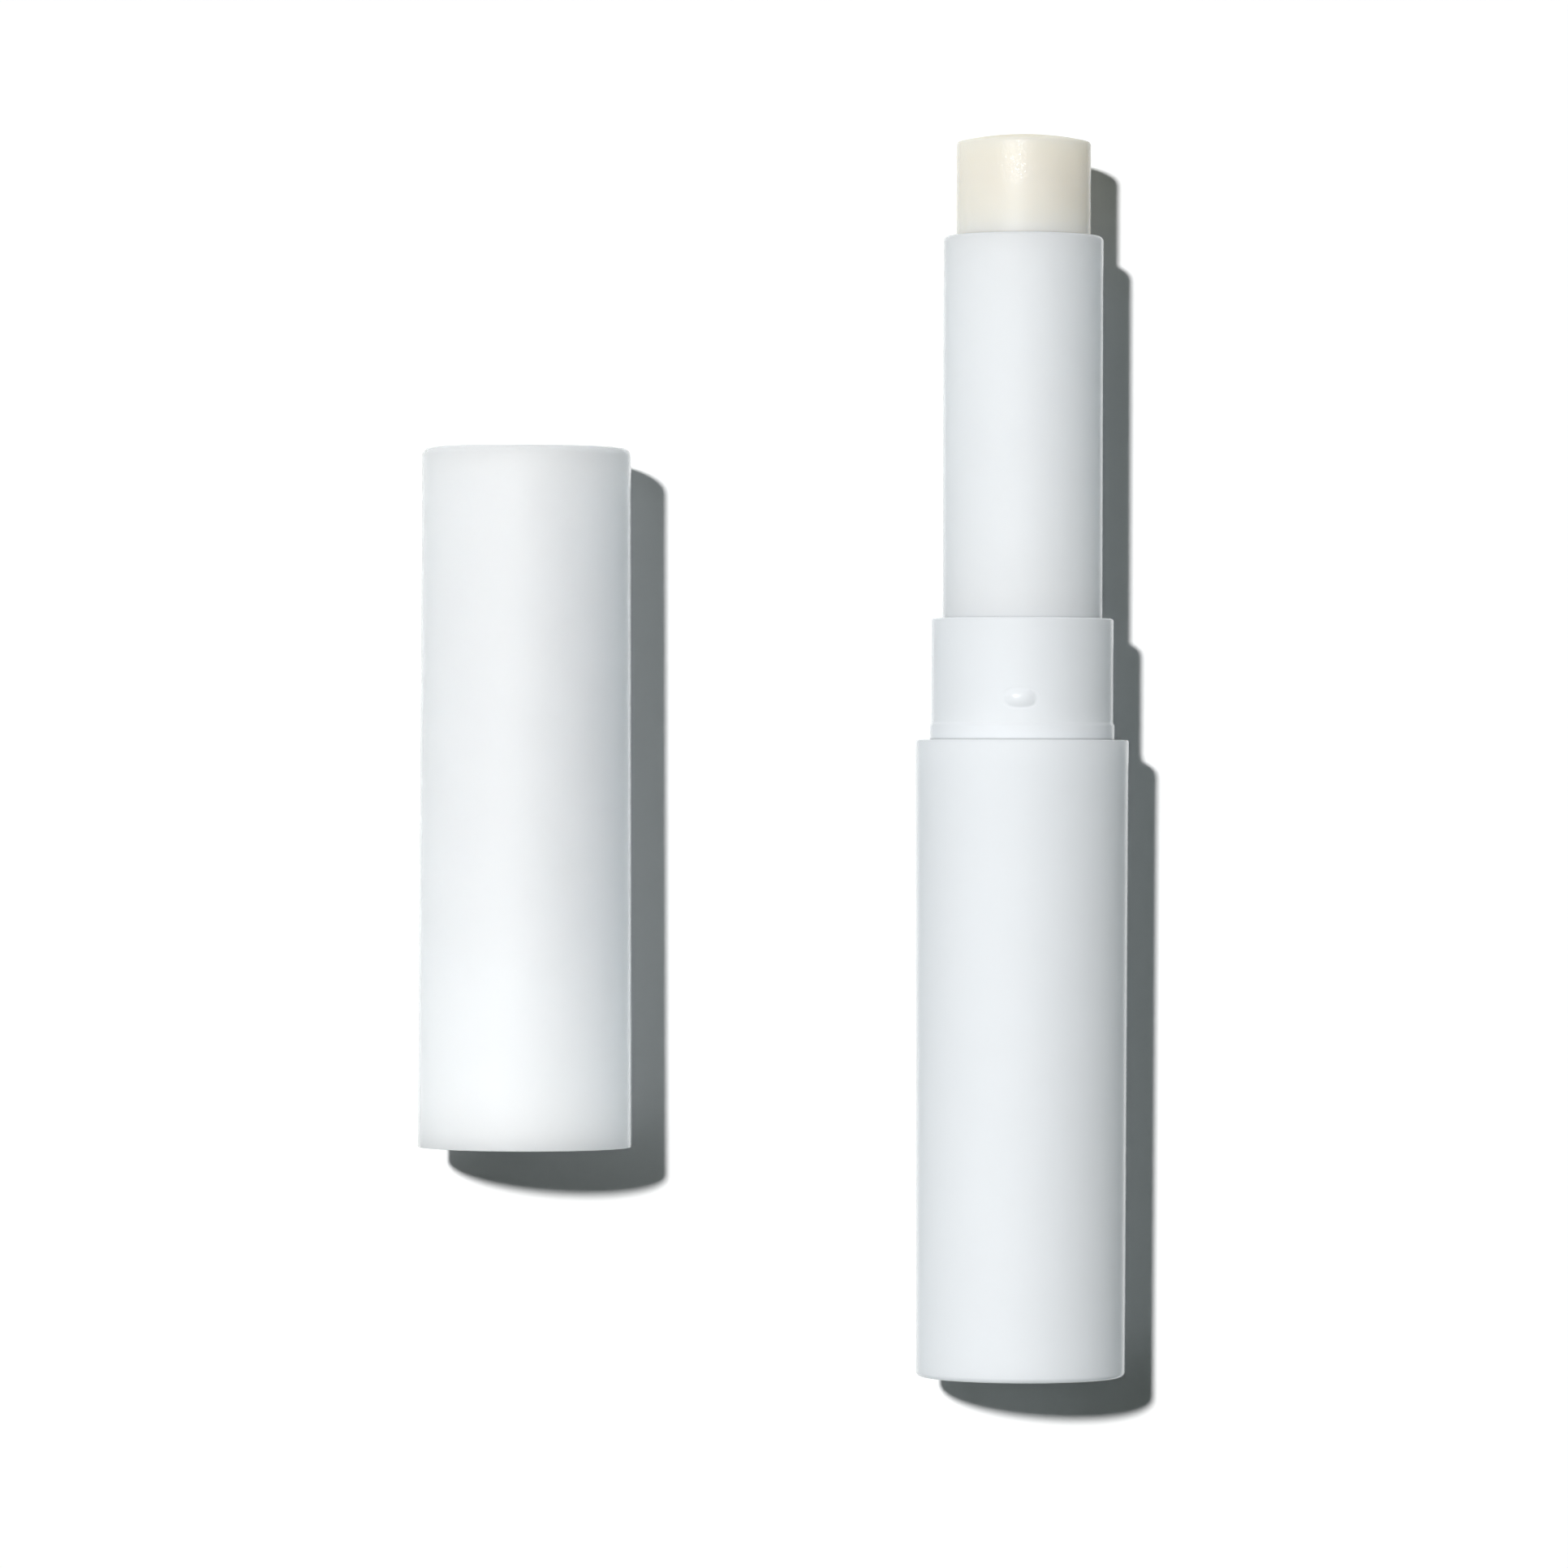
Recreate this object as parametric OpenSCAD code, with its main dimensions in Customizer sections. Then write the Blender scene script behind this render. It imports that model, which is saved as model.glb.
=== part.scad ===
// Slim twist-up lip balm stick, with its cap taken off and laid beside it.
// Millimetres. Both lie on the surface z = 0 with their closed-end axes along Y, and the tip points to +Y.
// Each piece is drawn upright along +Z and then laid down, so heights below are distances from the foot.

/* [Balm] */
// Diameter of the balm
balm_d = 8.22; // [7.4:0.02:9.4]
// Length of the balm from the floor of its cup to its tip
balm_len = 29; // [20:0.5:34]
// How far the balm is wound out in the pose shown, from fully wound in
feed_shown = 6.4; // [0:0.1:26]
// Radius of the rounded edge of the tip
tip_round = 0.15; // [0.1:0.05:0.8]
// Slope of the crowned tip where it meets that edge, in degrees
tip_slope = 3; // [2:1:14]

/* [Drive] */
// Travel of the balm from fully wound in to fully wound out
feed_travel = 26.1; // [26:0.1:36]
// Rise of the spiral in one turn of the base
lead = 10; // [8:0.5:12]
// Diameter of the carrier's two lug pins
pin_d = 1.5; // [1.2:0.05:1.8]
// Depth of the spiral grooves
groove_depth = 0.55; // [0.4:0.05:0.7]
// Gap between a lug pin and each side of its groove
pin_gap = 0.12; // [0.08:0.01:0.2]
// Width and height of the block behind each lug pin
lug_block = 2; // [1.9:0.1:2.6]
// Wall of the slotted guide
guide_wall = 0.72; // [0.6:0.02:0.9]
// Height of the guide's foot above the sleeve's foot
guide_up = 0.4; // [0.2:0.1:1]
// Radial gap between the guide and the spiral sleeve
drive_gap = 0.08; // [0.05:0.01:0.12]
// Height of the lower lug position above the sleeve's foot
lug_lift = 2.8; // [2.6:0.1:4]
// Height of the sleeve above the upper lug position
lug_head = 1.5; // [1.3:0.1:3]
// Gap between the stem and the guide's bore
stem_gap = 0.1; // [0.06:0.01:0.2]
// Thickness of the ribs of the cross-shaped stem
stem_rib = 1; // [0.7:0.1:1.6]
// Number of stiffening discs along the stem
stem_discs = 3; // [1:1:5]
// Thickness of a stiffening disc
disc_h = 0.8; // [0.5:0.1:1.4]
// Height of the cup that holds the balm
cup_h = 3.6; // [2.6:0.1:5]
// Wall of the cup
cup_wall = 0.45; // [0.35:0.05:0.7]
// Floor of the cup
cup_floor = 0.6; // [0.4:0.1:1.2]
// Radial gap between the cup and the tube
cup_gap = 0.08; // [0.05:0.01:0.15]
// Width of the ribs that key the balm into the cup
cup_rib_w = 0.6; // [0.4:0.1:1]
// How far those ribs stand in from the cup's wall
cup_rib_in = 0.35; // [0.2:0.05:0.6]

/* [Tube] */
// Radial gap between the balm and the tube
balm_gap = 0.07; // [0.04:0.01:0.12]
// Wall of the tube around the balm
tube_wall = 0.7; // [0.62:0.02:0.9]
// Rounding of the tube's outer top edge
tube_round = 0.3; // [0.1:0.05:0.45]
// Bevel of the tube's inner top edge
tube_bevel = 0.1; // [0.04:0.02:0.14]
// How far the tube's neck steps in below the cup
neck_step = 0.48; // [0.4:0.02:0.6]
// Height of the neck's top above the collar's lower end
neck_h = 5.2; // [4.6:0.1:8]
// Gap between the neck and the fully wound-in cup
cup_lift = 0.3; // [0.1:0.05:1]
// Distance from the tube's top down to the fully wound-out cup
cup_drop = 0.3; // [0.1:0.05:1]
// Height of the flange that the collar holds down
flange_h = 1; // [0.8:0.1:1.3]
// Length of the guide's spigot inside the tube
spigot_h = 2.5; // [1.5:0.1:2.6]
// Wall of the guide's spigot
spigot_wall = 0.52; // [0.45:0.01:0.58]
// Height of the brake ring above the collar's lower end
ring_up = 2.2; // [2.1:0.1:4]
// Depth of the brake ring's groove in the tube
ring_groove = 0.58; // [0.5:0.02:0.64]
// Width of the brake ring's groove
ring_groove_w = 0.8; // [0.75:0.05:1]

/* [Collar] */
// Wall of the collar above its lip
collar_wall = 0.58; // [0.5:0.02:0.9]
// Height of the collar above the base's rim
collar_h = 7.4; // [6:0.1:8.4]
// How far the lip stands out from the collar
lip_out = 0.085; // [0.06:0.005:0.12]
// Height of the lip above the base's rim
lip_h = 1.1; // [0.5:0.1:1.4]
// Rounding under the lip, where it rests on the rim
lip_round = 0.2; // [0.05:0.05:0.3]
// Length of the skirt inside the base
skirt_h = 4.8; // [3.8:0.1:8]
// How far the skirt steps in from the collar
skirt_in = 0.2; // [0.16:0.01:0.22]
// Rounding of the collar's top edge
collar_round = 0.15; // [0.05:0.05:0.35]
// Length of an oval snap bump around the collar
bump_w = 1.85; // [1.2:0.05:2.6]
// Height of a snap bump along the collar
bump_h = 1.04; // [0.7:0.02:1.4]
// How far a snap bump stands out
bump_out = 0.17; // [0.1:0.01:0.24]
// Height of the snap bumps above the base's rim
bump_up = 2.45; // [2.3:0.05:4]
// Turn of the snap bumps from the upper side, in degrees
bump_turn = 3; // [-20:1:20]

/* [Base] */
// Wall of the base at its rim
rim_wall = 1.12; // [0.9:0.01:1.6]
// How much smaller the foot's radius is than the rim's
base_draft = 0.125; // [0:0.005:0.2]
// Thickness of the base's floor
base_floor = 1.2; // [0.8:0.1:2.5]
// Rounding of the foot's edge
foot_round = 0.5; // [0.1:0.05:0.8]
// Diameter of the shallow recess under the foot
recess_d = 9.6; // [6:0.1:10.4]
// Depth of that recess
recess_h = 0.25; // [0.1:0.05:0.4]
// Bevel of the rim's outer edge
rim_bevel = 0.09; // [0.02:0.01:0.15]
// Bevel of the mouth's inner edge
mouth_bevel = 0.1; // [0.04:0.02:0.2]
// Height of the sleeve's ledge above the floor
ledge_up = 1.2; // [0.6:0.1:2]
// Width of the sleeve's ledge
ledge_w = 0.4; // [0.3:0.05:0.5]
// Width of the four keys that stop the sleeve from turning
key_w = 1.2; // [0.8:0.1:1.8]
// Height of the keys above the ledge
key_h = 0.9; // [0.6:0.1:1.1]

/* [Cap] */
// Wall of the cap at its mouth
cap_wall = 0.85; // [0.7:0.01:1.4]
// How much smaller the closed end's radius is than the mouth's
cap_draft = 0.16; // [0:0.01:0.2]
// Thickness of the cap's end wall
cap_end = 1.2; // [0.8:0.1:2.5]
// Room inside the cap beyond the tube
cap_room = 10.7; // [8:0.1:16]
// Rounding of the closed end's edge
cap_round = 0.5; // [0.1:0.05:0.8]
// Depth of the bore that fits over the collar
cap_seat = 9; // [8.6:0.1:12]
// Step inwards beyond that bore
core_step = 0.23; // [0.15:0.01:0.3]
// Draft of the bore beyond the step, on the radius
core_draft = 0.1; // [0.02:0.01:0.15]
// Number of slim ribs inside the cap
cap_ribs = 6; // [4:1:10]
// Width of a rib, in degrees around the cap
cap_rib_deg = 6; // [4:1:12]
// How far a rib stands in
cap_rib_in = 0.25; // [0.1:0.01:0.28]
// Bevel of the cap's outer mouth edge
cap_bevel = 0.06; // [0.02:0.01:0.15]
// Bevel that leads the collar into the cap
lead_in = 0.15; // [0.05:0.01:0.25]

/* [Fits] */
// Radial gap between the tube and the collar
run_gap = 0.1; // [0.06:0.01:0.14]
// End play of the tube's flange, on each side
end_play = 0.1; // [0.05:0.01:0.2]
// Gap around pieces that are pressed together
press_gap = 0.02; // [0.01:0.005:0.04]
// Radial gap between the cap and the collar
cap_gap = 0.12; // [0.1:0.01:0.15]
// Gap between a snap bump and the floor of the cap's groove
snap_gap = 0.1; // [0.05:0.01:0.15]

/* [Layout] */
// Clear distance between the cap and the stick
cap_apart = 17.24; // [2:0.01:40]
// How far the cap's mouth lies ahead of the stick's foot
cap_ahead = 13.9; // [0:0.1:18]

/* [Hidden] */
$fn = 96;

shell_colour = [0.91, 0.92, 0.93];
tube_colour = [0.88, 0.91, 0.94];
drive_colour = [0.83, 0.84, 0.82];
ring_colour = [0.35, 0.36, 0.38];
balm_colour = [0.94, 0.92, 0.85];

// Radii, from the balm outwards
balm_r = balm_d / 2;
tube_bore = balm_r + balm_gap;
tube_r = tube_bore + tube_wall;
neck_bore = tube_bore - neck_step;
cup_r = tube_bore - cup_gap;
cup_bore = cup_r - cup_wall;
stem_r = neck_bore - stem_gap;
spigot_r = neck_bore + spigot_wall;
guide_r = neck_bore + guide_wall;
sleeve_bore = guide_r + drive_gap;
groove_r = sleeve_bore + groove_depth;
pin_r = groove_r - drive_gap;
ring_floor = tube_r - ring_groove;
collar_bore = tube_r + run_gap;
collar_r = collar_bore + collar_wall;
lip_r = collar_r + lip_out;
skirt_r = collar_r - skirt_in;
base_bore = skirt_r + press_gap;
flange_r = base_bore - run_gap;
rim_r = base_bore + rim_wall;
foot_r = rim_r - base_draft;
sleeve_r = base_bore - press_gap;
ledge_r = sleeve_r - ledge_w;
cap_bore = collar_r + cap_gap;
cap_r = cap_bore + cap_wall;
cap_end_r = cap_r - cap_draft;
core_r = cap_bore - core_step;
core_end_r = core_r - core_draft;
snap_r = collar_r + bump_out + snap_gap;

// Heights, from the foot upwards
sleeve_z = base_floor + ledge_up;
lug_low_z = sleeve_z + lug_lift;
lug_high_z = lug_low_z + feed_travel;
sleeve_top_z = lug_high_z + lug_head;
flange_z = sleeve_top_z + end_play;
flange_top_z = flange_z + flange_h;
skirt_z = flange_top_z + end_play;
rim_z = skirt_z + skirt_h;
lip_z = rim_z + lip_h;
bump_z = rim_z + bump_up;
collar_top_z = rim_z + collar_h;
spigot_top_z = flange_z + spigot_h;
ring_z = skirt_z + ring_up;
neck_top_z = skirt_z + neck_h;
cup_low_z = neck_top_z + cup_lift;
tube_top_z = cup_low_z + cup_h + feed_travel + cup_drop;
guide_z = sleeve_z + guide_up;
slot_w = lug_block + 2 * stem_gap;
slot_top_z = lug_high_z + lug_block / 2 + stem_gap;
tip_z = cup_low_z + feed_shown + cup_floor + balm_len;

// The spiral, which winds left-handed so that the lugs climb as the base turns clockwise seen from the foot
groove_w = pin_d + 2 * pin_gap;
groove_mid = (sleeve_bore + groove_r) / 2;
lead_angle = atan(lead / (2 * PI * groove_mid));
turn_per_mm = 360 / lead;
groove_half = groove_w / cos(lead_angle) * turn_per_mm / 2;
groove_draft = 2;
groove_z = lug_low_z - pin_d / 2 - pin_gap;
groove_run = sleeve_top_z + pin_d - groove_z;
slice_deg = 10;
groove_steps = 6;

// Where the stick and the cap lie
cap_len = tube_top_z - rim_z + cap_room + cap_end;
row_len = max(tip_z, tube_top_z);
row_w = 2 * cap_r + cap_apart + 2 * rim_r;
foot_y = -row_len / 2;
stick_x = row_w / 2 - rim_r;
cap_x = cap_r - row_w / 2;

function arc(x, y, r, from, to, steps = 6) = [
    for (i = [0:steps])
        let (a = from + (to - from) * i / steps)
        [x + r * cos(a), y + r * sin(a)]
];

// Lays an upright piece of the stick on its side, with its -Y side turned up
module lay_stick() {
    translate([stick_x, foot_y, rim_r]) rotate([-90, 0, 0]) children();
}

// The same for the cap, whose mouth is at z = 0 while it is upright
module lay_cap() {
    translate([cap_x, foot_y + cap_ahead, cap_r]) rotate([-90, 0, 0]) children();
}

module around(count, start = 0) {
    for (i = [0:count - 1]) {
        rotate(start + i * 360 / count) children();
    }
}

// Outer shell that the hand turns, closed at the foot and open at the rim
module base_shell() {
    outline = concat(
        [[0, recess_h], [recess_d / 2, recess_h], [recess_d / 2 + recess_h, 0]],
        arc(foot_r - foot_round, foot_round, foot_round, -90, 0),
        [
            [rim_r, rim_z - rim_bevel],
            [rim_r - rim_bevel, rim_z],
            [base_bore + mouth_bevel, rim_z],
            [base_bore, rim_z - mouth_bevel],
            [base_bore, sleeve_z],
            [ledge_r, sleeve_z],
            [ledge_r, base_floor],
            [0, base_floor]
        ]
    );
    key_in = sleeve_bore + drive_gap;
    color(shell_colour) lay_stick() {
        rotate_extrude() polygon(outline);
        around(4, 45) {
            translate([key_in, -key_w / 2, base_floor / 2])
                cube([base_bore + rim_wall / 2 - key_in, key_w, sleeve_z + key_h - base_floor / 2]);
        }
    }
}

// One cross-section of both spiral grooves, open towards the sleeve's bore
module groove_section() {
    inner_r = sleeve_bore - groove_depth;
    inner_half = groove_half + groove_draft;
    one_side = concat(
        [[inner_r * cos(inner_half), -inner_r * sin(inner_half)]],
        arc(0, 0, groove_r, -groove_half, groove_half, groove_steps),
        [[inner_r * cos(inner_half), inner_r * sin(inner_half)]]
    );
    polygon(concat(one_side, [for (p = one_side) -p]));
}

// Sleeve fixed in the base, with a two-start spiral groove that ends below and runs out at the top
module spiral_sleeve() {
    color(drive_colour) lay_stick() {
        difference() {
            translate([0, 0, sleeve_z]) cylinder(r = sleeve_r, h = sleeve_top_z - sleeve_z);
            translate([0, 0, sleeve_z - 1]) cylinder(r = sleeve_bore, h = sleeve_top_z - sleeve_z + 2);
            translate([0, 0, groove_z]) rotate((lug_low_z + feed_shown - groove_z) * turn_per_mm)
                linear_extrude(
                    height = groove_run,
                    twist = groove_run * turn_per_mm,
                    slices = ceil(groove_run * turn_per_mm / slice_deg),
                    segments = 2 * (groove_steps + 3)
                ) groove_section();
            around(4, 45) {
                translate([0, -key_w / 2 - press_gap, sleeve_z - 1])
                    cube([sleeve_r + 1, key_w + 2 * press_gap, key_h + press_gap + 1]);
            }
        }
    }
}

// Oval bump, a flat spheroid whose long axis lies around the collar
module snap_bump() {
    short_r = (pow(bump_h / 2, 2) + pow(bump_out, 2)) / (2 * bump_out);
    centre_r = collar_r + bump_out - short_r;
    end_depth = sqrt(pow(collar_r, 2) - pow(bump_w / 2, 2)) - centre_r;
    long_r = bump_w / 2 / sqrt(1 - pow(end_depth / short_r, 2));
    half = [for (p = arc(0, 0, 1, -90, 90, 16)) [short_r * abs(p[0]), long_r * p[1]]];
    translate([0, -centre_r, bump_z]) rotate([0, 90, 0]) rotate_extrude() polygon(half);
}

// Collar whose skirt is pressed into the base and whose lip rests on the rim; the cap closes over it
module collar() {
    outside = concat(
        [[0, skirt_z], [skirt_r, skirt_z], [skirt_r, rim_z]],
        arc(lip_r - lip_round, rim_z + lip_round, lip_round, -90, 0),
        [[lip_r, lip_z - lip_out], [collar_r, lip_z]],
        arc(collar_r - collar_round, collar_top_z - collar_round, collar_round, 0, 90),
        [[0, collar_top_z]]
    );
    inside = [
        [0, skirt_z - 1],
        [collar_bore, skirt_z - 1],
        [collar_bore, collar_top_z - mouth_bevel],
        [collar_bore + mouth_bevel + 1, collar_top_z + 1],
        [0, collar_top_z + 1]
    ];
    color(shell_colour) lay_stick() {
        difference() {
            union() {
                rotate_extrude() polygon(outside);
                around(2, -bump_turn) snap_bump();
            }
            rotate_extrude() polygon(inside);
        }
    }
}

// Tube that turns in the collar and guides the balm
module tube() {
    outline = concat(
        [
            [spigot_r + press_gap, flange_z],
            [flange_r, flange_z],
            [flange_r, flange_top_z],
            [tube_r, flange_top_z],
            [tube_r, ring_z - ring_groove_w / 2],
            [ring_floor, ring_z - ring_groove_w / 2],
            [ring_floor, ring_z + ring_groove_w / 2],
            [tube_r, ring_z + ring_groove_w / 2]
        ],
        arc(tube_r - tube_round, tube_top_z - tube_round, tube_round, 0, 90),
        [
            [tube_bore + tube_bevel, tube_top_z],
            [tube_bore, tube_top_z - tube_bevel],
            [tube_bore, neck_top_z],
            [neck_bore, neck_top_z],
            [neck_bore, spigot_top_z + press_gap],
            [spigot_r + press_gap, spigot_top_z + press_gap]
        ]
    );
    color(tube_colour) lay_stick() rotate_extrude() polygon(outline);
}

// Slotted guide pressed into the tube, which keeps the carrier's lugs from turning
module guide_fork() {
    outline = [
        [neck_bore, guide_z],
        [guide_r, guide_z],
        [guide_r, flange_z],
        [spigot_r, flange_z],
        [spigot_r, spigot_top_z],
        [neck_bore, spigot_top_z]
    ];
    color(drive_colour) lay_stick() {
        difference() {
            rotate_extrude() polygon(outline);
            translate([-guide_r - 1, -slot_w / 2, guide_z - 1])
                cube([2 * guide_r + 2, slot_w, slot_top_z - guide_z + 1]);
        }
    }
}

// Rubber ring in the tube's groove, which drags on the collar so that the balm stays where it is set
module brake_ring() {
    inner_r = ring_floor + press_gap;
    outer_r = collar_bore - press_gap;
    color(ring_colour) lay_stick() {
        translate([0, 0, ring_z]) rotate_extrude()
            translate([(inner_r + outer_r) / 2, 0]) circle(d = outer_r - inner_r);
    }
}

// Ribs inside the cup, or the notches that they leave in the balm
module cup_keys(gap = 0) {
    around(4, 45) {
        translate([cup_bore - cup_rib_in - gap, -cup_rib_w / 2 - gap, 0])
            cube([cup_rib_in + cup_wall / 2 + gap, cup_rib_w + 2 * gap, cup_h]);
    }
}

// Carrier, made of the cup, its cross-shaped stem and two lugs that run in the guide's slots
module carrier() {
    stem_z = lug_low_z - lug_block / 2;
    stem_h = cup_low_z - stem_z;
    color(drive_colour) lay_stick() translate([0, 0, feed_shown]) {
        translate([0, 0, cup_low_z]) {
            difference() {
                cylinder(r = cup_r, h = cup_h);
                translate([0, 0, cup_floor]) cylinder(r = cup_bore, h = cup_h);
            }
            cup_keys();
        }
        translate([0, 0, stem_z]) {
            linear_extrude(stem_h + cup_floor / 2) {
                intersection() {
                    circle(r = stem_r);
                    union() {
                        square([2 * stem_r + 1, stem_rib], center = true);
                        square([stem_rib, 2 * stem_r + 1], center = true);
                    }
                }
            }
            cylinder(r = stem_r, h = lug_block);
            for (i = [1:stem_discs]) {
                translate([0, 0, i * stem_h / (stem_discs + 1)]) cylinder(r = stem_r, h = disc_h);
            }
        }
        around(2) {
            translate([0, -lug_block / 2, stem_z]) cube([guide_r - stem_gap, lug_block, lug_block]);
            translate([0, 0, lug_low_z]) rotate([0, 90, 0]) cylinder(d = pin_d, h = pin_r);
        }
    }
}

// Balm, cast into the cup and keyed by its ribs
module balm() {
    root_r = cup_bore - press_gap;
    edge_x = balm_r - tip_round;
    crown_x = edge_x + tip_round * sin(tip_slope);
    crown_r = crown_x / sin(tip_slope);
    length = tip_z - cup_low_z - feed_shown;
    edge_z = length - crown_r * (1 - cos(tip_slope)) - tip_round * cos(tip_slope);
    outline = concat(
        [[0, cup_floor], [root_r, cup_floor], [root_r, cup_h], [balm_r, cup_h]],
        arc(edge_x, edge_z, tip_round, 0, 90 - tip_slope),
        [for (a = [tip_slope - 1:-1:1]) [crown_r * sin(a), length - crown_r * (1 - cos(a))]],
        [[0, length]]
    );
    color(balm_colour) lay_stick() translate([0, 0, cup_low_z + feed_shown]) {
        difference() {
            rotate_extrude() polygon(outline);
            cup_keys(press_gap);
        }
    }
}

// Cap, open at its mouth, with a snap groove for the bumps and slim ribs beyond the collar
module cap() {
    groove_half_h = bump_h / 2 + snap_gap;
    groove_in = snap_r - cap_bore;
    inner_end = cap_len - cap_end;
    outline = concat(
        [[cap_bore + lead_in, 0], [cap_r - cap_bevel, 0], [cap_r, cap_bevel]],
        arc(cap_end_r - cap_round, cap_len - cap_round, cap_round, 0, 90),
        [
            [0, cap_len],
            [0, inner_end],
            [core_end_r, inner_end],
            [core_r, cap_seat + core_step],
            [cap_bore, cap_seat],
            [cap_bore, bump_up + groove_half_h + groove_in],
            [snap_r, bump_up + groove_half_h],
            [snap_r, bump_up - groove_half_h],
            [cap_bore, bump_up - groove_half_h - groove_in],
            [cap_bore, lead_in]
        ]
    );
    rib_z = cap_seat + 2 * core_step;
    rib_in_r = core_end_r - cap_rib_in;
    color(shell_colour) lay_cap() {
        rotate_extrude() polygon(outline);
        around(cap_ribs) {
            rotate_extrude(angle = cap_rib_deg) translate([rib_in_r, rib_z])
                square([cap_bore - rib_in_r, inner_end + cap_end / 2 - rib_z]);
        }
    }
}

cap();
base_shell();
spiral_sleeve();
collar();
tube();
guide_fork();
brake_ring();
carrier();
balm();
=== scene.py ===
import math

import bmesh
import bpy
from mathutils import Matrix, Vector, noise


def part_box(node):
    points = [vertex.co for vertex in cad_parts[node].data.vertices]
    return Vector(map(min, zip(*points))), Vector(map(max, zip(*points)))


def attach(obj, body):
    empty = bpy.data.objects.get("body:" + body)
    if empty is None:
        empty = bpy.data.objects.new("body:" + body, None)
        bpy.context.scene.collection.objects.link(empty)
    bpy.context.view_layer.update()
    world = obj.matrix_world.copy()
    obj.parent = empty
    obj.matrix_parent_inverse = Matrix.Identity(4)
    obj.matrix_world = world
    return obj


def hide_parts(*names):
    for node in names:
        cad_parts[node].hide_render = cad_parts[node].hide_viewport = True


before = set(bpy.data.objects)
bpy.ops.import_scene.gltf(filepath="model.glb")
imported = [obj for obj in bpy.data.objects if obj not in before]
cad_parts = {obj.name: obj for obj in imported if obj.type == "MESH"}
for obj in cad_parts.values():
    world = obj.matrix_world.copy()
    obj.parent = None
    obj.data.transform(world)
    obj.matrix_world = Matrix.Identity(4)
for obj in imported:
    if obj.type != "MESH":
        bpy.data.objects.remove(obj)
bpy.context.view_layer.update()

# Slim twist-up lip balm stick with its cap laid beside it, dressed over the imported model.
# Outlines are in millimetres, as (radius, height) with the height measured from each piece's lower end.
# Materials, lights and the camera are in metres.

MM = 0.001
MICRON = 0.000001
TINY = 0.000001


# Sizes read from the model

def size_of(node):
    """A node's extents, in millimetres."""
    low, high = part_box(node)
    return (high - low) / MM


def axis_of(node):
    """Centre line of a turned piece, as its x and z in metres."""
    low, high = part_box(node)
    return (low.x + high.x) / 2, (low.z + high.z) / 2


stick_axis = axis_of("base_shell")
cap_axis = axis_of("cap")
foot_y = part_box("base_shell")[0].y
mouth_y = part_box("cap")[0].y

rim_r = size_of("base_shell").x / 2
rim_h = size_of("base_shell").y
cap_r = size_of("cap").x / 2
cap_len = size_of("cap").y
balm_r = size_of("balm").x / 2
tip_h = (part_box("balm")[1].y - foot_y) / MM
balm_low_h = (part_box("balm")[0].y - foot_y) / MM
collar_low_h = (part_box("collar")[0].y - foot_y) / MM
collar_top_h = (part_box("collar")[1].y - foot_y) / MM
tube_low_h = (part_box("tube")[0].y - foot_y) / MM
tube_top_h = (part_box("tube")[1].y - foot_y) / MM
flange_r = size_of("tube").x / 2
lip_r = size_of("collar").x / 2


# Sizes that the boxes don't show, in millimetres

chamfer = 0.1

base_bore = 5.38
rim_edge = 0.09
foot_r = 6.375
foot_round = 0.32
ledge_r = 4.96
ledge_h = 2.4
floor_h = 1.2
recess_r = 4.8
recess_deep = 0.25
foot_gate_r = 0.55
foot_gate_out = 0.08
foot_gate_taper = 0.7

collar_r = 5.56
collar_bore = 4.98
collar_round = 0.15
skirt_r = 5.36
lip_h = 1.1
lip_round = 0.07
lip_slope = 0.25

bump_up = 2.5
bump_long = 1.85
bump_high = 1.04
bump_out = 0.15
bump_turn = math.radians(3)
moat_deep = 0.018

tube_r = 4.88
tube_bore = 4.18
mouth_round = 0.3
mouth_inner_round = 0.1
neck_bore = 3.7
neck_top_h = 39.2
spigot_r = 4.24
spigot_top_h = 35.42
flange_h = 1.0
ring_h = 36.2
ring_groove_r = 4.3
ring_groove_w = 0.8

crown_out = 0.2
tip_edge = 0.25
cup_bore = 3.63
cup_top = 3.0

cap_end_r = 6.37
cap_round = 0.5
cap_mouth_edge = 0.06
cap_bore = 5.68
cap_seat = 9.0
cap_end = 1.2
core_r = 5.45
core_end_r = 5.35
snap_r = 5.83
snap_room = 0.1
lead_in = 0.15
dimple_r = 0.9
dimple_deep = 0.06
dimple_slope = 0.1
cap_gate_r = 0.4
cap_gate_taper = 0.6
cap_gate_low = 0.01
ribs = 6
rib_deg = 6
rib_in = 0.25
rib_sunk = 0.1
rib_past_end = 0.2


# How the small forms are drawn: exponents of the bump's oval and dome, the moat's outer reach as a share of
# the bump's, the slope of the crown's edge in degrees, and the wax's unevenness in millimetres

oval_along = 2.6
oval_across = 2.3
oval_both = 2.45
dome_fullness = 2.6
moat_reach = 1.3
crown_slope = 12.5
swell, swell_per_mm = 0.008, 0.9
ripple, ripple_per_mm = 0.003, 3.1
uneven_inset = 0.006


# Fineness of the meshes

SEGMENTS = 288
COLLAR_SEGMENTS = 720
BALM_SEGMENTS = 360
RIB_SEGMENTS = 6
BUMP_RINGS = 56
CROWN_RINGS = 24
SHARP_ANGLE = math.radians(32)


# Turned meshes

def arc(x, y, r, start, end, steps):
    """Points of a round, from one angle in degrees to another."""
    angles = [math.radians(start + (end - start) * i / steps) for i in range(steps + 1)]
    return [(x + r * math.cos(a), y + r * math.sin(a)) for a in angles]


def wall(r_start, h_start, r_end, h_end, steps):
    """Evenly spaced points of a straight wall, both ends left out."""
    share = [i / steps for i in range(1, steps)]
    return [(r_start + (r_end - r_start) * t, h_start + (h_end - h_start) * t) for t in share]


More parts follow.
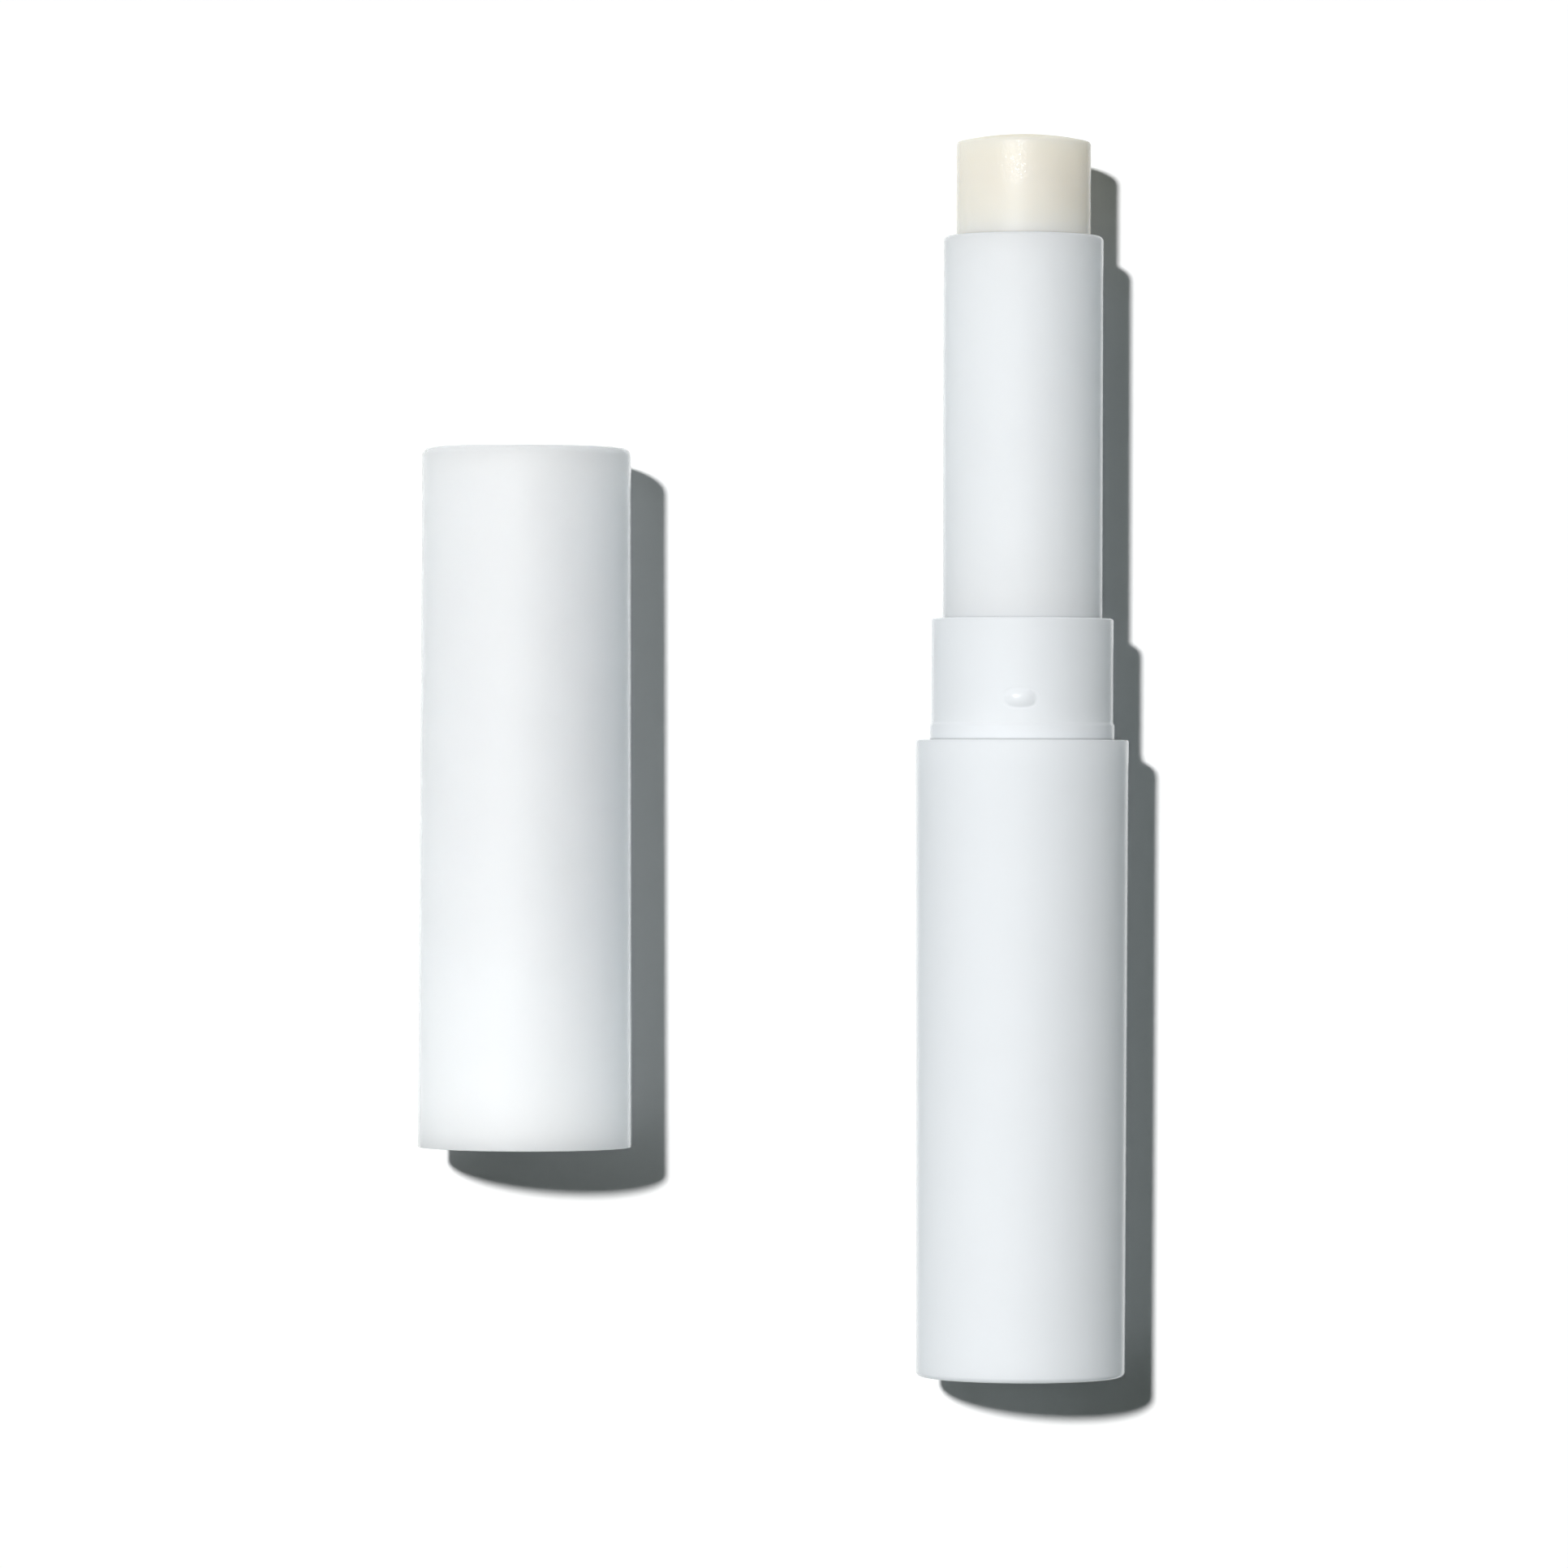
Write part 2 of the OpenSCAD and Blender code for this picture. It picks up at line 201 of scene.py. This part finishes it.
def ease(r_start, h_start, r_end, h_end, steps):
    """Points of a soft step, which leaves and meets its walls without an edge."""
    share = [i / steps for i in range(1, steps + 1)]
    soft = [t * t * (3 - 2 * t) for t in share]
    return [(r_start + (r_end - r_start) * s, h_start + (h_end - h_start) * t) for s, t in zip(soft, share)]


def add_ring(mesh, radius, height, angles, shape):
    """A ring of vertices, drawn together on the axis and elsewhere moved by the shape if there is one."""
    if radius < TINY:
        return [mesh.verts.new((0, height * MM, 0))] * len(angles)
    ring = []
    for a in angles:
        r = shape(a, radius, height) if shape else radius
        ring.append(mesh.verts.new((r * math.cos(a) * MM, height * MM, r * math.sin(a) * MM)))
    return ring


def add_face(mesh, corners):
    """A face, unless its corners have run together into a line."""
    distinct = list(dict.fromkeys(corners))
    if len(distinct) > 2:
        mesh.faces.new(distinct)


def turn(mesh, outline, segments=SEGMENTS, shape=None, start=0.0, sweep=360.0):
    """Add the solid that a closed outline sweeps about the piece's axis, over some or all of a full turn."""
    whole = sweep >= 360
    count = segments if whole else segments + 1
    angles = [math.radians(start + sweep * i / segments) for i in range(count)]
    rings = [add_ring(mesh, r, h, angles, shape) for r, h in outline]
    for i, ring in enumerate(rings):
        following = rings[(i + 1) % len(rings)]
        for j in range(segments):
            k = (j + 1) % count
            add_face(mesh, [ring[j], ring[k], following[k], following[j]])
    if not whole:
        mesh.faces.new([ring[0] for ring in rings])
        mesh.faces.new([ring[-1] for ring in rings])


def add_object(name, data):
    """A new object of this data, in the scene."""
    thing = bpy.data.objects.new(name, data)
    bpy.context.scene.collection.objects.link(thing)
    return thing


def add_mesh_object(name, mesh):
    """A new object of a finished mesh, which is used up."""
    data = bpy.data.meshes.new(name)
    mesh.to_mesh(data)
    mesh.free()
    return add_object(name, data)


def make_piece(name, mesh, axis, end_y, body, nodes):
    """Turn a finished mesh into a piece that stands for its CAD nodes and rides on their body."""
    bmesh.ops.recalc_face_normals(mesh, faces=mesh.faces)
    for face in mesh.faces:
        face.smooth = True
    for edge in mesh.edges:
        if len(edge.link_faces) == 2 and edge.calc_face_angle() > SHARP_ANGLE:
            edge.smooth = False
    piece = add_mesh_object(name, mesh)
    piece.location = (axis[0], end_y, axis[1])
    weighted = piece.modifiers.new("even_normals", "WEIGHTED_NORMAL")
    weighted.keep_sharp = True
    weighted.weight = 100
    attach(piece, body)
    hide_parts(*nodes)
    return piece


# Pieces

def make_base():
    """Base with a soft edge at its rim, a recess under its foot and the mark of the mould's gate in it."""
    gate_low = recess_deep - foot_gate_out
    outline = [(0, gate_low), (foot_gate_r * foot_gate_taper, gate_low)]
    outline += [(foot_gate_r, recess_deep), (recess_r, recess_deep)]
    outline += arc(recess_r + recess_deep, recess_deep, recess_deep, 180, 270, steps=4)[1:]
    outline += arc(foot_r - foot_round, foot_round, foot_round, -90, 0, steps=14)
    outline += wall(foot_r, foot_round, rim_r, rim_h - rim_edge, steps=24)
    outline += arc(rim_r - rim_edge, rim_h - rim_edge, rim_edge, 0, 90, steps=4)
    outline += [(base_bore + chamfer, rim_h), (base_bore, rim_h - chamfer)]
    outline += [(base_bore, ledge_h), (ledge_r, ledge_h), (ledge_r, floor_h), (0, floor_h)]
    mesh = bmesh.new()
    turn(mesh, outline)
    return make_piece("base_body", mesh, stick_axis, foot_y, "base", ["base_shell"])


def bump_height(angle, height):
    """How far the two oval snap bumps, each in its faint moat, stand out at a place on the collar."""
    out = 0.0
    for side in (math.pi / 2, 3 * math.pi / 2):
        along = math.remainder(angle - side - bump_turn, 2 * math.pi) * collar_r / (bump_long / 2)
        across = (height - rim_h - bump_up) / (bump_high / 2)
        reach = (abs(along) ** oval_along + abs(across) ** oval_across) ** (1 / oval_both)
        if reach < 1:
            out = bump_out * (1 - reach ** dome_fullness)
        elif reach < moat_reach:
            out = -moat_deep * math.sin(math.pi * (reach - 1) / (moat_reach - 1))
    return out


def make_collar():
    """Collar with its lip, its rounded top edge and its two snap bumps."""
    lip_top = rim_h + lip_h
    bump_h = rim_h + bump_up
    fine_reach = bump_high * 0.7
    fine_low, fine_top = bump_h - fine_reach, bump_h + fine_reach
    outline = [(collar_bore, collar_low_h), (skirt_r, collar_low_h), (skirt_r, rim_h)]
    outline += arc(lip_r - lip_round, rim_h + lip_round, lip_round, -90, 0, steps=8)
    outline += [(lip_r, lip_top - lip_slope)]
    outline += ease(lip_r, lip_top - lip_slope, collar_r, lip_top, steps=6)
    outline += [(collar_r, fine_low)]
    outline += wall(collar_r, fine_low, collar_r, fine_top, BUMP_RINGS)
    outline += [(collar_r, fine_top)]
    outline += wall(collar_r, fine_top, collar_r, collar_top_h - collar_round, steps=6)
    outline += arc(collar_r - collar_round, collar_top_h - collar_round, collar_round, 0, 90, steps=8)
    outline += [(collar_bore + chamfer, collar_top_h), (collar_bore, collar_top_h - chamfer)]

    def shape(angle, radius, height):
        if abs(radius - collar_r) > TINY:
            return radius
        return radius + bump_height(angle, height)

    mesh = bmesh.new()
    turn(mesh, outline, COLLAR_SEGMENTS, shape)
    return make_piece("collar_body", mesh, stick_axis, foot_y, "base", ["collar"])


def make_tube():
    """Tube with a rounded mouth, the neck that stops the cup, the ring's groove and its flange."""
    groove_low, groove_top = ring_h - ring_groove_w / 2, ring_h + ring_groove_w / 2
    round_h = tube_top_h - mouth_round
    inner_h = tube_top_h - mouth_inner_round
    outline = [(spigot_r, tube_low_h), (flange_r, tube_low_h), (flange_r, tube_low_h + flange_h)]
    outline += [(tube_r, tube_low_h + flange_h), (tube_r, groove_low), (ring_groove_r, groove_low)]
    outline += [(ring_groove_r, groove_top), (tube_r, groove_top)]
    outline += wall(tube_r, groove_top, tube_r, round_h, steps=24)
    outline += arc(tube_r - mouth_round, round_h, mouth_round, 0, 90, steps=12)
    outline += arc(tube_bore + mouth_inner_round, inner_h, mouth_inner_round, 90, 180, steps=5)
    outline += [(tube_bore, neck_top_h), (neck_bore, neck_top_h), (neck_bore, spigot_top_h)]
    outline += [(spigot_r, spigot_top_h)]
    mesh = bmesh.new()
    turn(mesh, outline)
    return make_piece("tube_body", mesh, stick_axis, foot_y, "barrel", ["tube"])


def make_balm():
    """Balm with a low crown and a soft edge, whose poured surface is very slightly uneven."""
    slope = math.radians(crown_slope)
    edge_x = balm_r - tip_edge
    crown_x = edge_x + tip_edge * math.sin(slope)
    crown_r = crown_x / math.sin(slope)
    crown_top = tip_h + crown_out
    crown_low = crown_top - crown_r * (1 - math.cos(slope))
    edge_h = crown_low - tip_edge * math.cos(slope)
    cup_rim_h = balm_low_h + cup_top
    fine_h = tube_top_h - 2
    uneven_h = tube_top_h - 1.5
    even_r = 0.05
    outline = [(0, balm_low_h), (cup_bore, balm_low_h), (cup_bore, cup_rim_h), (balm_r, cup_rim_h)]
    outline += wall(balm_r, cup_rim_h, balm_r, fine_h, steps=10)
    outline += wall(balm_r, fine_h, balm_r, edge_h, steps=60)
    outline += arc(edge_x, edge_h, tip_edge, 0, 90 - crown_slope, steps=12)
    for ring in range(CROWN_RINGS - 1, 0, -1):
        a = slope * ring / CROWN_RINGS
        outline.append((crown_r * math.sin(a), crown_top - crown_r * (1 - math.cos(a))))
    outline += [(0, crown_top)]

    def shape(angle, radius, height):
        if height < uneven_h or radius < even_r:
            return radius
        at = Vector((radius * math.cos(angle), height, radius * math.sin(angle)))
        uneven = swell * noise.noise(at * swell_per_mm) + ripple * noise.noise(at * ripple_per_mm)
        return radius - uneven_inset + uneven

    mesh = bmesh.new()
    turn(mesh, outline, BALM_SEGMENTS, shape)
    return make_piece("balm_body", mesh, stick_axis, foot_y, "carrier", ["balm"])


def make_cap():
    """Cap with its snap groove, the step beyond its bore and slim ribs inside."""
    edge = cap_mouth_edge
    snap_low, snap_top = bump_up - bump_high / 2 - snap_room, bump_up + bump_high / 2 + snap_room
    snap_deep = snap_r - cap_bore
    step_w = cap_bore - core_r
    inner_end = cap_len - cap_end
    dimple_h = cap_len - dimple_deep
    gate_h = cap_len - cap_gate_low
    outline = [(cap_bore + lead_in, 0)]
    outline += arc(cap_r - edge, edge, edge, -90, 0, steps=4)
    outline += wall(cap_r, edge, cap_end_r, cap_len - cap_round, steps=28)
    outline += arc(cap_end_r - cap_round, cap_len - cap_round, cap_round, 0, 90, steps=14)
    outline += [(dimple_r, cap_len), (dimple_r - dimple_slope, dimple_h)]
    outline += [(cap_gate_r, dimple_h), (cap_gate_r * cap_gate_taper, gate_h), (0, gate_h)]
    outline += [(0, inner_end), (core_end_r, inner_end), (core_r, cap_seat + step_w), (cap_bore, cap_seat)]
    outline += [(cap_bore, snap_top + snap_deep), (snap_r, snap_top)]
    outline += [(snap_r, snap_low), (cap_bore, snap_low - snap_deep), (cap_bore, lead_in)]
    mesh = bmesh.new()
    turn(mesh, outline)
    rib_low, rib_top = cap_seat + 2 * step_w, inner_end + rib_past_end
    rib_r, root_r = core_end_r - rib_in, core_r + rib_sunk
    rib = [(rib_r, rib_low), (root_r, rib_low), (root_r, rib_top), (rib_r, rib_top)]
    for i in range(ribs):
        turn(mesh, rib, RIB_SEGMENTS, start=i * 360 / ribs, sweep=rib_deg)
    return make_piece("cap_body", mesh, cap_axis, mouth_y, "cap", ["cap"])


# Materials

class Surface:
    """A material under construction, with short calls for the nodes that these surfaces share."""

    def __init__(self, name):
        self.material = bpy.data.materials.new(name)
        self.material.use_nodes = True
        self.nodes = self.material.node_tree.nodes
        self.links = self.material.node_tree.links
        self.bsdf = self.nodes["Principled BSDF"]
        self.place = self.nodes.new("ShaderNodeTexCoord").outputs["Object"]

    def set(self, **values):
        """Constants of the shader's own sockets."""
        for key, value in values.items():
            self.bsdf.inputs[key.replace("_", " ")].default_value = value

    def drive(self, key, value):
        """A socket of the shader that follows another node."""
        self.links.new(value, self.bsdf.inputs[key])

    def coordinates(self):
        """The place's X, Y and Z, in metres."""
        node = self.nodes.new("ShaderNodeSeparateXYZ")
        self.links.new(self.place, node.inputs["Vector"])
        return node.outputs

    def noise(self, per_metre, detail=2):
        texture = self.nodes.new("ShaderNodeTexNoise")
        texture.inputs["Scale"].default_value = per_metre
        texture.inputs["Detail"].default_value = detail
        self.links.new(self.place, texture.inputs["Vector"])
        return texture.outputs["Fac"]

    def ranged(self, value, low, high, from_low=0.3, from_high=0.7):
        """A value spread over another range. Noise mostly lies between the two limits given here."""
        node = self.nodes.new("ShaderNodeMapRange")
        node.inputs["From Min"].default_value = from_low
        node.inputs["From Max"].default_value = from_high
        node.inputs["To Min"].default_value = low
        node.inputs["To Max"].default_value = high
        self.links.new(value, node.inputs["Value"])
        return node.outputs["Result"]

    def blend(self, share, first, second):
        """Mix of two colours, each one either written out or the output of another node."""
        node = self.nodes.new("ShaderNodeMix")
        node.data_type = "RGBA"
        self.links.new(share, node.inputs["Factor"])
        for key, colour in (("A", first), ("B", second)):
            if isinstance(colour, bpy.types.NodeSocket):
                self.links.new(colour, node.inputs[key])
            else:
                node.inputs[key].default_value = (*colour, 1)
        return node.outputs["Result"]

    def cloud(self, per_metre, first, second):
        """A colour that drifts between two others."""
        return self.blend(self.ranged(self.noise(per_metre), 0, 1), first, second)

    def painted_joint_shade(self, colour, painted_shade):
        """The colour with painted shade, darkened by ambient occlusion in the narrow joints where another
        piece stands close.
        """
        reach = 0.00025
        closed, open_air = 0.55, 0.85
        near = self.nodes.new("ShaderNodeAmbientOcclusion")
        near.inputs["Distance"].default_value = reach
        return self.blend(self.ranged(near.outputs["AO"], 0, 1, closed, open_air), painted_shade, colour)

    def math(self, operation, first, second):
        node = self.nodes.new("ShaderNodeMath")
        node.operation = operation
        for socket, value in zip(node.inputs, (first, second)):
            if isinstance(value, (int, float)):
                socket.default_value = value
            else:
                self.links.new(value, socket)
        return node.outputs["Value"]

    def bump(self, height, depth, under=None):
        """Relief of a depth in metres, over another relief if there is one."""
        node = self.nodes.new("ShaderNodeBump")
        node.inputs["Strength"].default_value = 1.0
        node.inputs["Distance"].default_value = depth
        self.links.new(height, node.inputs["Height"])
        if under:
            self.links.new(under, node.inputs["Normal"])
        return node.outputs["Normal"]

    def gloss(self, facing, grazing=0.15, spread=0.02):
        """Roughness that clears towards the silhouette, as satin skins do at a grazing angle."""
        clears_from, clears_to = 0.66, 0.8
        mottle_per_m, mottle_detail = 900, 3
        layer = self.nodes.new("ShaderNodeLayerWeight")
        layer.inputs["Blend"].default_value = 0.5
        even = self.ranged(layer.outputs["Facing"], facing, grazing, clears_from, clears_to)
        mottle = self.ranged(self.noise(mottle_per_m, mottle_detail), -spread, spread)
        return self.math("ADD", even, mottle)

    def scatter(self, share, depth, radius):
        """A share of the light that spreads inside the material, over a depth in metres."""
        self.bsdf.subsurface_method = "BURLEY"
        self.set(Subsurface_Weight=share, Subsurface_Scale=depth, Subsurface_Radius=radius)


def satin_plastic(name, colour, rough, share, depth, grain=1.2 * MICRON):
    """Moulded plastic with a satin skin: a faint cloud in its colour, painted shade in its joints, fine
    grain and soft gloss.
    """
    paler_by, painted_shade_share, waves_to_grain = 0.008, 0.75, 4
    cloud_per_m, waves_per_m, grain_per_m, grain_detail = 160, 420, 6500, 3
    paler = [c + paler_by for c in colour]
    painted_shade = [c * painted_shade_share for c in colour]
    s = Surface(name)
    # Painted shade: the base colour darkens where another piece stands close, in place of the shadow in the
    # joint.
    s.drive("Base Color", s.painted_joint_shade(s.cloud(cloud_per_m, colour, paler), painted_shade))
    s.drive("Roughness", s.gloss(rough))
    waves = s.bump(s.noise(waves_per_m), grain * waves_to_grain)
    s.drive("Normal", s.bump(s.noise(grain_per_m, grain_detail), grain, waves))
    s.scatter(share, depth, radius=(1.0, 1.08, 1.15))
    s.set(IOR=1.49)
    return s


def polish_bumps(s):
    """Make the snap bumps, which a polished tool has cut, a little glossier than the collar's skin."""
    polish = 0.5
    raised_from, raised_full = collar_r + 0.01, collar_r + 0.06
    clear_from, clear_full = rim_h + lip_h + 0.2, rim_h + lip_h + 0.3
    x, y, z = s.coordinates()
    squares = s.math("ADD", s.math("MULTIPLY", x, x), s.math("MULTIPLY", z, z))
    raised = s.ranged(s.math("POWER", squares, 0.5), 0, 1, raised_from * MM, raised_full * MM)
    clear_of_lip = s.ranged(y, 0, polish, clear_from * MM, clear_full * MM)
    s.drive("Coat Weight", s.math("MULTIPLY", raised, clear_of_lip))
    s.set(Coat_Roughness=0.3, Coat_IOR=1.49)


def soft_wax(name):
    """Cream wax, cloudy within, with painted shade in its joint with the tube: soft along its side, and near
    its tip with a wet gloss over fine pebbles.
    """
    deep, pale, wax_painted_shade = (0.862, 0.815, 0.718), (0.882, 0.838, 0.748), (0.66, 0.62, 0.54)
    wet, matt = 0.26, 0.7
    wet_from, wet_full = tip_h - 2.9, tip_h - 2.5
    matt_from, matt_full = tip_h - 0.5, tip_h - 0.3
    cloud_per_m, waves_per_m, pebbles_per_m, ragged_per_m = 300, 700, 5200, 1500
    waves_deep, pebbles_deep, ragged = 10 * MICRON, 70 * MICRON, 0.4 * MM
    s = Surface(name)
    # Painted shade: the cream darkens towards a brown shade where the tube stands close.
    s.drive("Base Color", s.painted_joint_shade(s.cloud(cloud_per_m, deep, pale), wax_painted_shade))
    height = s.coordinates()["Y"]
    ragged_height = s.math("ADD", height, s.math("MULTIPLY", s.noise(ragged_per_m), ragged))
    near_tip = s.ranged(ragged_height, 0, wet, wet_from * MM, wet_full * MM)
    on_crown = s.ranged(height, 0, 1, matt_from * MM, matt_full * MM)
    side = s.gloss(0.5, grazing=0.1, spread=0.03)
    s.drive("Roughness", s.math("MAXIMUM", side, s.math("MULTIPLY", on_crown, matt)))
    s.drive("Coat Weight", s.math("MULTIPLY", near_tip, s.math("SUBTRACT", 1, on_crown)))
    waves = s.bump(s.noise(waves_per_m), waves_deep)
    s.drive("Normal", waves)
    s.drive("Coat Normal", s.bump(s.noise(pebbles_per_m), pebbles_deep, waves))
    s.scatter(share=0.9, depth=0.0026, radius=(1.8, 1.3, 0.7))
    s.set(IOR=1.44, Coat_Roughness=0.13, Coat_IOR=1.5)
    s.set(Sheen_Weight=0.28, Sheen_Roughness=0.85, Sheen_Tint=(1, 0.98, 0.86, 1))
    return s


def soft_rubber(name):
    """Near-black rubber with a dull, finely worn skin."""
    dark, worn = (0.03, 0.03, 0.033), (0.045, 0.045, 0.05)
    cloud_per_m, mottle_per_m, grain_per_m = 800, 3000, 9000
    s = Surface(name)
    s.drive("Base Color", s.cloud(cloud_per_m, dark, worn))
    s.drive("Roughness", s.ranged(s.noise(mottle_per_m), 0.6, 0.75))
    s.drive("Normal", s.bump(s.noise(grain_per_m), 4 * MICRON))
    return s


def dress(piece, surface):
    """Give a piece this surface all over."""
    piece.data.materials.clear()
    piece.data.materials.append(surface.material)


# Floor, light and camera

def split_by_ray(tree, share, felt, seen, output):
    """Give the rays that a share picks out one shader, and the other rays another."""
    mix = tree.nodes.new("ShaderNodeMixShader")
    tree.links.new(share, mix.inputs["Fac"])
    tree.links.new(felt.outputs[0], mix.inputs[1])
    tree.links.new(seen.outputs[0], mix.inputs[2])
    tree.links.new(mix.outputs["Shader"], tree.nodes[output].inputs["Surface"])


def either(tree, first, second):
    """The larger of two values."""
    node = tree.nodes.new("ShaderNodeMath")
    node.operation = "MAXIMUM"
    tree.links.new(first, node.inputs[0])
    tree.links.new(second, node.inputs[1])
    return node.outputs["Value"]


def make_floor():
    """Floor that shows white to the camera where it is lit, and lights the object as a pale table does."""
    reach = 1.6
    shown, pale = (1.05, 1.05, 1.05, 1), (0.76, 0.8, 0.81, 1)
    mesh = bmesh.new()
    corners = ((-reach, -reach), (reach, -reach), (reach, reach), (-reach, reach))
    mesh.faces.new([mesh.verts.new((x, y, 0)) for x, y in corners])
    floor = add_mesh_object("floor", mesh)
    material = bpy.data.materials.new("floor")
    material.use_nodes = True
    tree = material.node_tree
    tree.nodes.remove(tree.nodes["Principled BSDF"])
    seen = tree.nodes.new("ShaderNodeBsdfDiffuse")
    seen.inputs["Color"].default_value = shown
    felt = tree.nodes.new("ShaderNodeBsdfDiffuse")
    felt.inputs["Color"].default_value = pale
    ray = tree.nodes.new("ShaderNodeLightPath").outputs
    mirrored = either(tree, ray["Is Glossy Ray"], ray["Is Transmission Ray"])
    split_by_ray(tree, either(tree, ray["Is Camera Ray"], mirrored), felt, seen, "Material Output")
    floor.data.materials.append(material)


def make_world():
    """White behind the object for the camera, and a dim, slightly tinted room for the object itself."""
    world = bpy.data.worlds.new("room")
    bpy.context.scene.world = world
    world.use_nodes = True
    tree = world.node_tree
    felt = tree.nodes["Background"]
    felt.inputs["Color"].default_value = (0.034, 0.041, 0.037, 1)
    seen = tree.nodes.new("ShaderNodeBackground")
    seen.inputs["Color"].default_value = (1, 1, 1, 1)
    ray = tree.nodes.new("ShaderNodeLightPath").outputs
    split_by_ray(tree, ray["Is Camera Ray"], felt, seen, "World Output")


def make_key_light():
    """One distant lamp from the upper left, as large in the sky as the shadows' soft edges ask."""
    towards = Vector((-0.281, 0.256, 1))
    lamp = bpy.data.lights.new("key", "SUN")
    lamp.energy = 3.12
    lamp.angle = math.radians(3.4)
    key = add_object("key", lamp)
    key.rotation_euler = towards.to_track_quat("Z", "Y").to_euler()


def make_camera():
    """Camera that looks straight down from half a metre, turned by the small roll of the photograph."""
    above_axis = 0.492
    aim_x, aim_y = 0.64 * MM, -1.68 * MM
    roll = math.radians(0.16)
    lens = bpy.data.cameras.new("camera")
    lens.sensor_width = 36
    lens.lens = 185.2
    lens.clip_start = 0.01
    camera = add_object("camera", lens)
    camera.location = (aim_x, aim_y, above_axis + stick_axis[1])
    camera.rotation_euler = (0, 0, roll)
    bpy.context.scene.camera = camera


# Scene

SHELL_WHITE = (0.83, 0.86, 0.89)
CAP_WHITE = (0.838, 0.85, 0.866)
TUBE_WHITE = (0.825, 0.85, 0.875)
NATURAL = (0.76, 0.77, 0.73)

base_skin = satin_plastic("shell_satin", SHELL_WHITE, rough=0.7, share=0.35, depth=0.004)
cap_skin = satin_plastic("cap_satin", CAP_WHITE, rough=0.62, share=0.85, depth=0.013)
tube_skin = satin_plastic("tube_satin", TUBE_WHITE, rough=0.68, share=0.55, depth=0.008, grain=1.6 * MICRON)
natural = satin_plastic("natural_plastic", NATURAL, rough=0.4, share=0.4, depth=0.002, grain=2 * MICRON)
collar_skin = satin_plastic("collar_satin", SHELL_WHITE, rough=0.66, share=0.35, depth=0.004)
polish_bumps(collar_skin)

dress(make_base(), base_skin)
dress(make_collar(), collar_skin)
dress(make_cap(), cap_skin)
dress(make_tube(), tube_skin)
dress(make_balm(), soft_wax("balm_wax"))
for inner in ("spiral_sleeve", "guide_fork", "carrier"):
    dress(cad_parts[inner], natural)
dress(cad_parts["brake_ring"], soft_rubber("ring_rubber"))

make_floor()
make_world()
make_key_light()
make_camera()
bpy.context.scene.view_settings.view_transform = "Standard"
